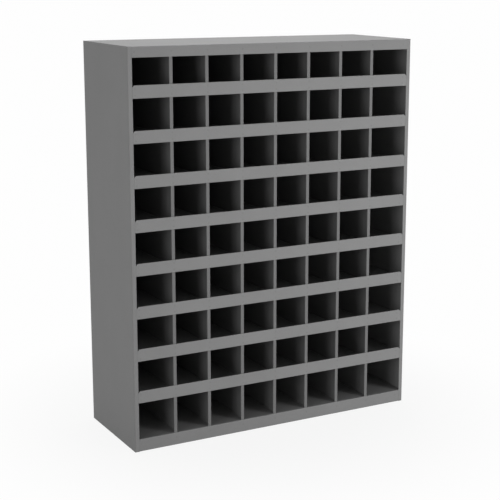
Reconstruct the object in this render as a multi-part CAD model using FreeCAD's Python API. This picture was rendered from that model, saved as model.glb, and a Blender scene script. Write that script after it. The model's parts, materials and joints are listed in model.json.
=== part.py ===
"""Steel pigeonhole cabinet: a welded case, lipped shelves and upright dividers.

Millimetres.  +X runs to the right along the open front, +Y from the front to the back, +Z up.
The origin is at the middle of the base, on the surface that the cabinet stands on.
Every piece is one folded sheet: the path of its mid-line, given a thickness and swept straight.
"""
import FreeCAD, Part
import math
import os

# ---- the case ---------------------------------------------------------------------------------
case_width = 857.25
case_depth = 304.8
case_height = 1066.8
columns = 8
rows = 9
end_allowance = 22.225      # width that each end cell has beyond one column pitch

# ---- sheet, folds and joints ------------------------------------------------------------------
case_sheet = 1.2            # sides, top and bottom
shelf_sheet = 0.9
divider_sheet = 0.75
back_sheet = 0.75
bend_radius = 1.0           # inside radius of every open fold
hem_gap = 0.4               # daylight left inside a folded-back hem
seam_gap = 0.3              # joint between two pieces that meet edge to edge
no_length = 1e-6            # where two folds meet, the straight run between them is left out

# ---- flanges ----------------------------------------------------------------------------------
side_flange = 12.0          # front and rear returns of the side panels
top_band = 28.0             # front band of the top pan
bottom_band = 34.2          # front and rear bands of the bottom pan, below its floor
base_return = 14.0          # feet of the bottom pan, turned in along the standing surface
pan_flange = 20.0           # rear flange of the top pan and side flanges of the bottom pan
lip_above = 19.0            # shelf lip above the shelf's floor
lip_below = 14.5            # shelf lip below the shelf's floor
lip_hem = 6.0               # safe edge folded down behind the top of the lip
lip_corner = 5.0            # corner taken off each end of the lip
shelf_flange = 12.0         # side and rear flanges of a shelf
divider_flange = 9.5        # front and rear flanges of a divider, turned to its left

# ---- places that several pieces share ---------------------------------------------------------
side_x = case_width / 2
side_inner_x = side_x - case_sheet
mouth_x = side_x - side_flange - seam_gap       # half the width between the side flanges
front_y = -case_depth / 2
rear_y = case_depth / 2
back_rear_y = rear_y - case_sheet               # the back panel lies inside the rear flanges
back_front_y = back_rear_y - back_sheet
lip_depth = 2 * shelf_sheet + hem_gap
divider_front_y = front_y + lip_depth
wing_rear_y = back_rear_y - max(back_sheet, bend_radius) - seam_gap
top_under_z = case_height - case_sheet
column_pitch = (case_width - 2 * end_allowance) / columns
row_pitch = (top_under_z - bottom_band) / rows
floor_heights = [bottom_band + row_pitch * row for row in range(rows)]
ceiling_heights = [floor - shelf_sheet for floor in floor_heights[1:]] + [top_under_z]

X = FreeCAD.Vector(1, 0, 0)
Y = FreeCAD.Vector(0, 1, 0)
Z = FreeCAD.Vector(0, 0, 1)


def outline(points, radii, sheet, side):
    """Edges along one face of a sheet, side +1 for its left and -1 for its right."""
    headings = [(b - a).normalize() for a, b in zip(points, points[1:])]
    lefts = [Z.cross(heading) for heading in headings]
    offset = side * sheet / 2
    edges = []
    last = points[0] + lefts[0] * offset
    for i, radius in enumerate(radii, start=1):
        turn = headings[i - 1].getAngle(headings[i])
        bisector = (headings[i] - headings[i - 1]).normalize()
        inwards = math.copysign(1, lefts[i - 1].dot(bisector))
        centre = points[i] + bisector * ((radius + sheet / 2) / math.cos(turn / 2))
        face_radius = radius + sheet / 2 - inwards * offset
        start = centre - lefts[i - 1] * (inwards * face_radius)
        end = centre - lefts[i] * (inwards * face_radius)
        if (start - last).Length > no_length:
            edges.append(Part.makeLine(last, start))
        edges.append(Part.Arc(start, centre - bisector * face_radius, end).toShape())
        last = end
    edges.append(Part.makeLine(last, points[-1] + lefts[-1] * offset))
    return edges


def folded_sheet(path, sheet, u_axis, v_axis, start, end):
    """A folded sheet whose mid-line runs through the path in the plane of u and v.

    A corner of the path is (u, v) at its two ends and (u, v, inside radius) at a fold.  The sheet
    is swept from start to end along the third axis.
    """
    points = [FreeCAD.Vector(corner[0], corner[1], 0) for corner in path]
    radii = [corner[2] for corner in path[1:-1]]
    left = outline(points, radii, sheet, 1)
    right = outline(points, radii, sheet, -1)
    caps = [
        Part.makeLine(left[0].firstVertex(True).Point, right[0].firstVertex(True).Point),
        Part.makeLine(left[-1].lastVertex(True).Point, right[-1].lastVertex(True).Point),
    ]
    wire = Part.Wire(Part.__sortEdges__(left + right + caps))
    section = Part.Face(wire).extrude(Z * (end - start))
    section.translate(Z * start)
    sweep_axis = next(axis for axis in (X, Y, Z) if axis not in (u_axis, v_axis))
    placed = FreeCAD.Matrix(
        u_axis.x, v_axis.x, sweep_axis.x, 0,
        u_axis.y, v_axis.y, sweep_axis.y, 0,
        u_axis.z, v_axis.z, sweep_axis.z, 0,
        0, 0, 0, 1,
    )
    return section.transformShape(placed)


def block(low, high):
    """Box between two corners, for cutting."""
    size = [b - a for a, b in zip(low, high)]
    return Part.makeBox(*size, FreeCAD.Vector(*low))


def both_sides(shape):
    """The shape and its mirror image in the cabinet's middle plane."""
    return [shape, shape.mirror(FreeCAD.Vector(), X)]


def side_panel():
    """The right side panel: one tall channel with its front and rear edges returned."""
    flange_x = side_x - side_flange
    mid_x = side_x - case_sheet / 2
    mid_front, mid_rear = front_y + case_sheet / 2, rear_y - case_sheet / 2
    path = [
        (flange_x, mid_front),
        (mid_x, mid_front, bend_radius),
        (mid_x, mid_rear, bend_radius),
        (flange_x, mid_rear),
    ]
    return folded_sheet(path, case_sheet, X, Y, 0, top_under_z)


def top_pan():
    """The top laps both side panels; its front band and rear flange fit between their returns."""
    mid_front, mid_rear = front_y + case_sheet / 2, rear_y - case_sheet / 2
    mid_z = case_height - case_sheet / 2
    path = [
        (mid_front, case_height - top_band),
        (mid_front, mid_z, bend_radius),
        (mid_rear, mid_z, bend_radius),
        (mid_rear, case_height - pan_flange),
    ]
    pan = folded_sheet(path, case_sheet, Y, Z, -side_x, side_x)
    lowest = case_height - max(top_band, pan_flange)
    over_side = block((mouth_x, front_y, lowest), (side_x, rear_y, top_under_z))
    return pan.cut(both_sides(over_side))


def wing(floor_z, sheet, flange, front_fold):
    """Right end of a floor: it runs behind the side's return and turns down along the side."""
    mid_x = side_inner_x - sheet / 2
    mid_z = floor_z - sheet / 2
    path = [(mouth_x, mid_z), (mid_x, mid_z, bend_radius), (mid_x, floor_z - flange)]
    start = front_y + front_fold + bend_radius + seam_gap
    return folded_sheet(path, sheet, X, Z, start, wing_rear_y)


def bottom_pan():
    """The lowest floor, with front and rear bands that turn in again as feet."""
    floor_z = bottom_band
    half_sheet = case_sheet / 2
    mid_front, mid_rear = front_y + half_sheet, back_front_y - half_sheet
    path = [
        (front_y + base_return, half_sheet),
        (mid_front, half_sheet, bend_radius),
        (mid_front, floor_z - half_sheet, bend_radius),
        (mid_rear, floor_z - half_sheet, bend_radius),
        (mid_rear, half_sheet, bend_radius),
        (back_front_y - base_return, half_sheet),
    ]
    pan = folded_sheet(path, case_sheet, Y, Z, -mouth_x, mouth_x)
    end = wing(floor_z, case_sheet, pan_flange, case_sheet)
    return pan.fuse(both_sides(end)).removeSplitter()


def back_panel():
    """A flat sheet inside the rear returns, clear of the folds around it."""
    half_width = side_inner_x - bend_radius - seam_gap
    top = top_under_z - bend_radius - seam_gap
    return block((-half_width, back_front_y, seam_gap), (half_width, back_rear_y, top))


def shelf(floor_z):
    """A floor whose front turns down, folds back up as the lip and ends in a safe edge."""
    half_sheet = shelf_sheet / 2
    lip_y = front_y + half_sheet
    fold_y = front_y + lip_depth - half_sheet
    rear_flange_y = back_front_y - half_sheet
    mid_z = floor_z - half_sheet
    bottom_z = floor_z - lip_below + half_sheet
    lip_top = floor_z + lip_above
    path = [
        (rear_flange_y, floor_z - shelf_flange),
        (rear_flange_y, mid_z, bend_radius),
        (fold_y, mid_z, bend_radius),
        (fold_y, bottom_z, hem_gap / 2),
        (lip_y, bottom_z, hem_gap / 2),
        (lip_y, lip_top - half_sheet, hem_gap / 2),
        (fold_y, lip_top - half_sheet, hem_gap / 2),
        (fold_y, lip_top - lip_hem),
    ]
    body = folded_sheet(path, shelf_sheet, Y, Z, -mouth_x, mouth_x)
    corner = Part.makePolygon([
        FreeCAD.Vector(mouth_x, front_y, lip_top),
        FreeCAD.Vector(mouth_x - lip_corner, front_y, lip_top),
        FreeCAD.Vector(mouth_x, front_y, lip_top - lip_corner),
        FreeCAD.Vector(mouth_x, front_y, lip_top),
    ])
    body = body.cut(both_sides(Part.Face(corner).extrude(Y * lip_depth)))
    end = wing(floor_z, shelf_sheet, shelf_flange, lip_depth)
    return body.fuse(both_sides(end)).removeSplitter()


def divider(x, floor_z, ceiling_z):
    """An upright sheet between two floors, flanged against the lips and against the back."""
    half_sheet = divider_sheet / 2
    flange_x = x - divider_flange + half_sheet
    mid_front, mid_rear = divider_front_y + half_sheet, back_front_y - half_sheet
    path = [
        (flange_x, mid_front),
        (x, mid_front, bend_radius),
        (x, mid_rear, bend_radius),
        (flange_x, mid_rear),
    ]
    blank = folded_sheet(path, divider_sheet, X, Y, floor_z, ceiling_z)
    notch_left, notch_right = x - divider_flange, x + divider_sheet
    front_notch_z = ceiling_z - bend_radius - seam_gap
    rear_notch_z = ceiling_z + shelf_sheet - shelf_flange - seam_gap
    front_notch = block(
        (notch_left, divider_front_y, front_notch_z),
        (notch_right, divider_front_y + bend_radius + seam_gap, ceiling_z),
    )
    rear_notch = block(
        (notch_left, back_front_y - shelf_sheet - bend_radius - seam_gap, rear_notch_z),
        (notch_right, back_front_y, ceiling_z),
    )
    return blank.cut([front_notch, rear_notch])


def divider_row(row):
    """The dividers that stand on one floor, one between each pair of columns."""
    places = [(k - columns / 2) * column_pitch for k in range(1, columns)]
    return Part.makeCompound(
        [divider(x, floor_heights[row], ceiling_heights[row]) for x in places]
    )


def all_pieces():
    """Every node of the cabinet by name; shelves and divider rows count from the bottom."""
    right, left = both_sides(side_panel())
    pieces = {
        "left_side": left,
        "right_side": right,
        "top_pan": top_pan(),
        "bottom_pan": bottom_pan(),
        "back_panel": back_panel(),
    }
    for row in range(1, rows):
        pieces[f"shelf_{row}"] = shelf(floor_heights[row])
    for row in range(rows):
        pieces[f"dividers_row_{row + 1}"] = divider_row(row)
    return pieces


os.makedirs("parts", exist_ok=True)
for name, shape in all_pieces().items():
    shape.exportStep(f"parts/{name}.step")
    box = shape.BoundBox
    print(f"{name}: {len(shape.Solids)} solids, valid {shape.isValid()}, {shape.Volume / 1000:.1f} cm3,"
          f" {box.XLength:.2f} x {box.YLength:.2f} x {box.ZLength:.2f}")
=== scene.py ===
import json
import math

import bpy
from mathutils import Matrix, Vector


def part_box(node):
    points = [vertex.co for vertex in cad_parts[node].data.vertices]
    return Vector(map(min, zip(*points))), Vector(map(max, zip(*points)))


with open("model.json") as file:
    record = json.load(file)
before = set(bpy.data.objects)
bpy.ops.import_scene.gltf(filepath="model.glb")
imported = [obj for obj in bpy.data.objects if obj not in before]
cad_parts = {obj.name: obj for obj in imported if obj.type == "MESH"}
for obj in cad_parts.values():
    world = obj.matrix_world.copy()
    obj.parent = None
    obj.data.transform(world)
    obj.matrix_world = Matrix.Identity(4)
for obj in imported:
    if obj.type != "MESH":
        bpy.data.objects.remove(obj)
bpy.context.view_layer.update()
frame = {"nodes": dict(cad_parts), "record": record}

# ---- camera: the photograph's viewpoint, front left and a little above the top -----------------
PICTURE = 500                       # side of the square picture, pixels
SENSOR = 36.0                       # mm
FOCAL_PIXELS = 1243.0
PRINCIPAL = (280.0, 236.0)          # point of the picture that lies on the lens axis, pixels
CAMERA_PLACE = Vector((-1.629, -3.043, 1.246))
YAW, PITCH, ROLL = (math.radians(a) for a in (29.54, 11.94, 0.24))


def make_camera():
    data = bpy.data.cameras.new("camera")
    data.sensor_width = SENSOR
    data.lens = FOCAL_PIXELS * SENSOR / PICTURE
    data.shift_x = (PICTURE / 2 - PRINCIPAL[0]) / PICTURE
    data.shift_y = (PRINCIPAL[1] - PICTURE / 2) / PICTURE
    camera = bpy.data.objects.new("camera", data)
    bpy.context.scene.collection.objects.link(camera)
    turn = (
        Matrix.Rotation(-YAW, 4, "Z")
        @ Matrix.Rotation(math.pi / 2 - PITCH, 4, "X")
        @ Matrix.Rotation(ROLL, 4, "Z")
    )
    camera.matrix_world = Matrix.Translation(CAMERA_PLACE) @ turn
    bpy.context.scene.camera = camera


# ---- studio -----------------------------------------------------------------------------------
WHITE = 0.99                        # the background as the camera and reflections see it
FILL = 0.16                         # the background as diffuse light
FLOOR_SIZE = 16.0
FLOOR_DROP = 0.0005                 # the floor lies this far under the cabinet's feet
PAPER = 0.5                         # how much light the floor throws back
SHADOW_SHARE = 0.10                 # how much of the seen floor is lit paper, under the cabinet
SHADOW_NEAR, SHADOW_FAR = 0.25, 0.95  # the share fades out between these distances
LAMP_AIM = (0, 0, 0.55)             # about the middle of the cabinet
LAMPS = {                           # place, side of the square, watts
    "key": ((2.0, -3.25, 0.65), 1.1, 92),
    "left": ((-3.3, -1.2, 0.8), 2.2, 48),
    "top": ((0.1, 0.3, 3.3), 1.4, 62),
    "rear": ((1.6, 3.2, 0.45), 1.2, 55),
}


def empty_tree(owner):
    """Nodes and links of a world or material, without the nodes it starts with."""
    owner.use_nodes = True
    owner.node_tree.nodes.clear()
    return owner.node_tree.nodes, owner.node_tree.links


def background_rays(nodes, links):
    """1 for rays that show the background itself: camera, glossy and transmission rays."""
    path = nodes.new("ShaderNodeLightPath")
    total = path.outputs["Is Camera Ray"]
    for ray in ("Is Glossy Ray", "Is Transmission Ray"):
        larger = nodes.new("ShaderNodeMath")
        larger.operation = "MAXIMUM"
        links.new(total, larger.inputs[0])
        links.new(path.outputs[ray], larger.inputs[1])
        total = larger.outputs[0]
    return total


def mix_shaders(nodes, links, share, first, second):
    mix = nodes.new("ShaderNodeMixShader")
    for slot, output in enumerate((share, first, second)):
        links.new(output, mix.inputs[slot])
    return mix.outputs[0]


def make_world():
    world = bpy.data.worlds.new("studio")
    bpy.context.scene.world = world
    nodes, links = empty_tree(world)
    skies = []
    for strength in (FILL, WHITE):
        sky = nodes.new("ShaderNodeBackground")
        sky.inputs["Color"].default_value = (1, 1, 1, 1)
        sky.inputs["Strength"].default_value = strength
        skies.append(sky.outputs[0])
    out = nodes.new("ShaderNodeOutputWorld")
    surface = mix_shaders(nodes, links, background_rays(nodes, links), *skies)
    links.new(surface, out.inputs["Surface"])


def make_floor():
    """White paper: rays that show the background see it glow, but for a faint shadow."""
    mesh = bpy.data.meshes.new("floor")
    half = FLOOR_SIZE / 2
    corners = [(-half, -half, 0), (half, -half, 0), (half, half, 0), (-half, half, 0)]
    mesh.from_pydata(corners, [], [(0, 1, 2, 3)])
    floor = bpy.data.objects.new("floor", mesh)
    floor.location.z = -FLOOR_DROP
    bpy.context.scene.collection.objects.link(floor)
    material = bpy.data.materials.new("floor_white")
    nodes, links = empty_tree(material)
    paper = nodes.new("ShaderNodeBsdfDiffuse")
    paper.inputs["Color"].default_value = (PAPER, PAPER, PAPER, 1)
    glow = nodes.new("ShaderNodeEmission")
    glow.inputs["Strength"].default_value = WHITE
    place = nodes.new("ShaderNodeTexCoord")
    reach = nodes.new("ShaderNodeVectorMath")
    reach.operation = "LENGTH"
    links.new(place.outputs["Object"], reach.inputs[0])
    fade = nodes.new("ShaderNodeMapRange")
    fade.interpolation_type = "SMOOTHSTEP"
    fade.inputs["From Min"].default_value = SHADOW_NEAR
    fade.inputs["From Max"].default_value = SHADOW_FAR
    fade.inputs["To Min"].default_value = SHADOW_SHARE
    fade.inputs["To Max"].default_value = 0
    links.new(reach.outputs["Value"], fade.inputs["Value"])
    lit = paper.outputs[0]
    seen = mix_shaders(nodes, links, fade.outputs["Result"], glow.outputs[0], lit)
    surface = mix_shaders(nodes, links, background_rays(nodes, links), lit, seen)
    out = nodes.new("ShaderNodeOutputMaterial")
    links.new(surface, out.inputs["Surface"])
    mesh.materials.append(material)


def make_lamps():
    for name, (place, size, watts) in LAMPS.items():
        data = bpy.data.lights.new(name, "AREA")
        data.shape = "SQUARE"
        data.size = size
        data.energy = watts
        lamp = bpy.data.objects.new(name, data)
        lamp.location = place
        towards = Vector(LAMP_AIM) - Vector(place)
        lamp.rotation_euler = towards.to_track_quat("-Z", "Y").to_euler()
        bpy.context.scene.collection.objects.link(lamp)


# ---- spot welds -------------------------------------------------------------------------------
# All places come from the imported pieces: lips one row apart, divider flanges one column apart.
WELD_RADIUS = 0.0032
WELD_CORE = 0.55                    # share of the radius inside which the mark is full
WELD_DISH = 0.00018                 # depth that the electrode leaves
DIVIDERS_IN_ROW = 7
FLANGE = 0.0095                     # width of a divider's front flange
FLOOR_BELOW_LIP = 0.019             # from a lip's upper edge down to its shelf's floor
FLANGE_BELOW_FLOOR = 0.006          # from a floor down to the middle of its side and rear flanges
UPPER_WELD, LOWER_WELD = 0.009, 0.0075  # from the lip's upper and lower edge
SIDE_WELD_PITCH = 0.072             # along the depth of a side panel
FACING = 0.9                        # least part of a normal along an axis, to face that way

lip_low, lip_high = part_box("shelf_1")
top_low, top_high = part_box("top_pan")
dividers_low, dividers_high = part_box("dividers_row_5")
row_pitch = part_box("shelf_2")[1][2] - lip_high[2]
column_pitch = (dividers_high[0] - dividers_low[0] - FLANGE) / (DIVIDERS_IN_ROW - 1)
first_flange = dividers_low[0] + FLANGE / 2
shelf_flange = lip_high[2] - FLOOR_BELOW_LIP - FLANGE_BELOW_FLOOR
band_middle = (top_low[2] + top_high[2]) / 2


class Texture:
    """Nodes that work out values over a material's surface from its object coordinates."""

    def __init__(self, nodes, links):
        self.nodes, self.links = nodes, links
        place = nodes.new("ShaderNodeTexCoord")
        self.place = place.outputs["Object"]
        self.at = self.split(self.place)
        self.normal = self.split(place.outputs["Normal"])

    def split(self, vector):
        parts = self.nodes.new("ShaderNodeSeparateXYZ")
        self.links.new(vector, parts.inputs[0])
        return {axis: parts.outputs[axis] for axis in "XYZ"}

    def calc(self, operation, *values):
        node = self.nodes.new("ShaderNodeMath")
        node.operation = operation
        for slot, value in enumerate(values):
            if isinstance(value, (int, float)):
                node.inputs[slot].default_value = value
            else:
                self.links.new(value, node.inputs[slot])
        return node.outputs[0]

    def scale(self, value, ends, span=(0, 1), curve="LINEAR"):
        """Takes the span of a value to the two ends."""
        node = self.nodes.new("ShaderNodeMapRange")
        node.interpolation_type = curve
        node.inputs["From Min"].default_value, node.inputs["From Max"].default_value = span
        node.inputs["To Min"].default_value, node.inputs["To Max"].default_value = ends
        self.links.new(value, node.inputs["Value"])
        return node.outputs["Result"]

    def noise(self, scale, detail):
        texture = self.nodes.new("ShaderNodeTexNoise")
        texture.inputs["Scale"].default_value = scale
        texture.inputs["Detail"].default_value = detail
        self.links.new(self.place, texture.inputs["Vector"])
        return texture.outputs["Fac"]

    def outside(self, axis, sign):
        """1 on the outer faces at one end of an axis: the front is Y, -1."""
        turned = self.calc("GREATER_THAN", self.calc("MULTIPLY", self.normal[axis], sign), FACING)
        this_half = self.calc("GREATER_THAN", self.calc("MULTIPLY", self.at[axis], sign), 0)
        return self.calc("MULTIPLY", turned, this_half)

    def off(self, axis, first, pitch):
        """Signed distance along an axis from the nearest of the places first + n * pitch."""
        from_first = self.calc("SUBTRACT", self.at[axis], first)
        return self.calc("WRAP", from_first, pitch / 2, -pitch / 2)

    def marks(self, faces, across, first, pitch, height):
        """1 inside round marks on the faces, a pitch apart across them, one row for each shelf."""
        u = self.off(across, first, pitch)
        v = self.off("Z", height, row_pitch)
        squares = self.calc("ADD", self.calc("MULTIPLY", u, u), self.calc("MULTIPLY", v, v))
        edge = (WELD_RADIUS * WELD_CORE, WELD_RADIUS)
        mark = self.scale(self.calc("SQRT", squares), (1, 0), edge, "SMOOTHSTEP")
        return self.calc("MULTIPLY", mark, faces)

    def largest(self, *values):
        total = values[0]
        for value in values[1:]:
            total = self.calc("MAXIMUM", total, value)
        return total


def lip_welds(texture):
    """A shelf's lip is welded to the flange of each divider, above and below the floor."""
    front = texture.outside("Y", -1)
    heights = (lip_high[2] - UPPER_WELD, lip_low[2] + LOWER_WELD)
    return texture.largest(
        *(texture.marks(front, "X", first_flange, column_pitch, height) for height in heights)
    )


def case_welds(texture):
    """Side and back panels are welded to every shelf, and both bands to the dividers."""
    left, right = texture.outside("X", -1), texture.outside("X", 1)
    front, back = texture.outside("Y", -1), texture.outside("Y", 1)
    return texture.largest(
        texture.marks(left, "Y", SIDE_WELD_PITCH / 2, SIDE_WELD_PITCH, shelf_flange),
        texture.marks(right, "Y", SIDE_WELD_PITCH / 2, SIDE_WELD_PITCH, shelf_flange),
        texture.marks(back, "X", column_pitch / 2, column_pitch, shelf_flange),
        texture.marks(front, "X", first_flange, column_pitch, band_middle),
    )


# ---- enamel -----------------------------------------------------------------------------------
FINISHES = {                        # tone, and where the sheet is welded
    "case_enamel": (0.205, case_welds),
    "shelf_enamel": (0.215, lip_welds),
    # painted shade: the dividers' tone is darker than the case's enamel, standing in for the lips'
    # shadow on the flanges and the dim walls inside the cells
    "divider_enamel": (0.15, None),
}
NOISE_SPAN = (0.3, 0.7)             # where nearly all values of a noise texture lie
CLOUDS, GRAIN, PEEL = (7, 4), (420, 2), (700, 2)  # scale and detail of each noise
CLOUD_SHADES = (0.95, 1.05)         # these three are shares of the tone
GRAIN_SHADES = (0.97, 1.03)
WELD_SHADES = (1, 0.92)             # beside and inside a mark
ROUGHNESS = (0.58, 0.64)            # follows the clouds
SPECULAR_LEVEL = 0.3
PEEL_STRENGTH, PEEL_HEIGHT = 0.3, 0.0003


def enamel(name, tone, welds):
    """Grey powder coat: fine orange peel, uneven gloss and tone, dished where it is welded."""
    material = bpy.data.materials.new(name)
    material.use_nodes = True
    nodes, links = material.node_tree.nodes, material.node_tree.links
    shader = nodes["Principled BSDF"]
    texture = Texture(nodes, links)
    clouds = texture.noise(*CLOUDS)
    grain = texture.noise(*GRAIN)
    dish = welds(texture) if welds else None

    shade = texture.calc(
        "MULTIPLY",
        texture.scale(clouds, [tone * share for share in CLOUD_SHADES], NOISE_SPAN),
        texture.scale(grain, GRAIN_SHADES, NOISE_SPAN),
    )
    if dish:
        shade = texture.calc("MULTIPLY", shade, texture.scale(dish, WELD_SHADES))
    colour = nodes.new("ShaderNodeCombineColor")
    for channel in ("Red", "Green", "Blue"):
        links.new(shade, colour.inputs[channel])
    links.new(colour.outputs[0], shader.inputs["Base Color"])
    links.new(texture.scale(clouds, ROUGHNESS, NOISE_SPAN), shader.inputs["Roughness"])
    shader.inputs["Specular IOR Level"].default_value = SPECULAR_LEVEL

    peel = nodes.new("ShaderNodeBump")
    peel.inputs["Strength"].default_value = PEEL_STRENGTH
    peel.inputs["Distance"].default_value = PEEL_HEIGHT
    links.new(texture.noise(*PEEL), peel.inputs["Height"])
    surface = peel.outputs["Normal"]
    if dish:
        dent = nodes.new("ShaderNodeBump")
        dent.invert = True
        dent.inputs["Strength"].default_value = 1
        dent.inputs["Distance"].default_value = WELD_DISH
        links.new(dish, dent.inputs["Height"])
        links.new(surface, dent.inputs["Normal"])
        surface = dent.outputs["Normal"]
    links.new(surface, shader.inputs["Normal"])
    return material


def dress_sheets():
    enamels = {slot: enamel(slot, tone, welds) for slot, (tone, welds) in FINISHES.items()}
    for part in frame["record"]["subparts"]:
        node = frame["nodes"][part["node"]]
        node.data.materials.clear()
        node.data.materials.append(enamels[part["material_slot"]])


dress_sheets()
make_camera()
make_world()
make_floor()
make_lamps()
bpy.context.scene.view_settings.view_transform = "Standard"
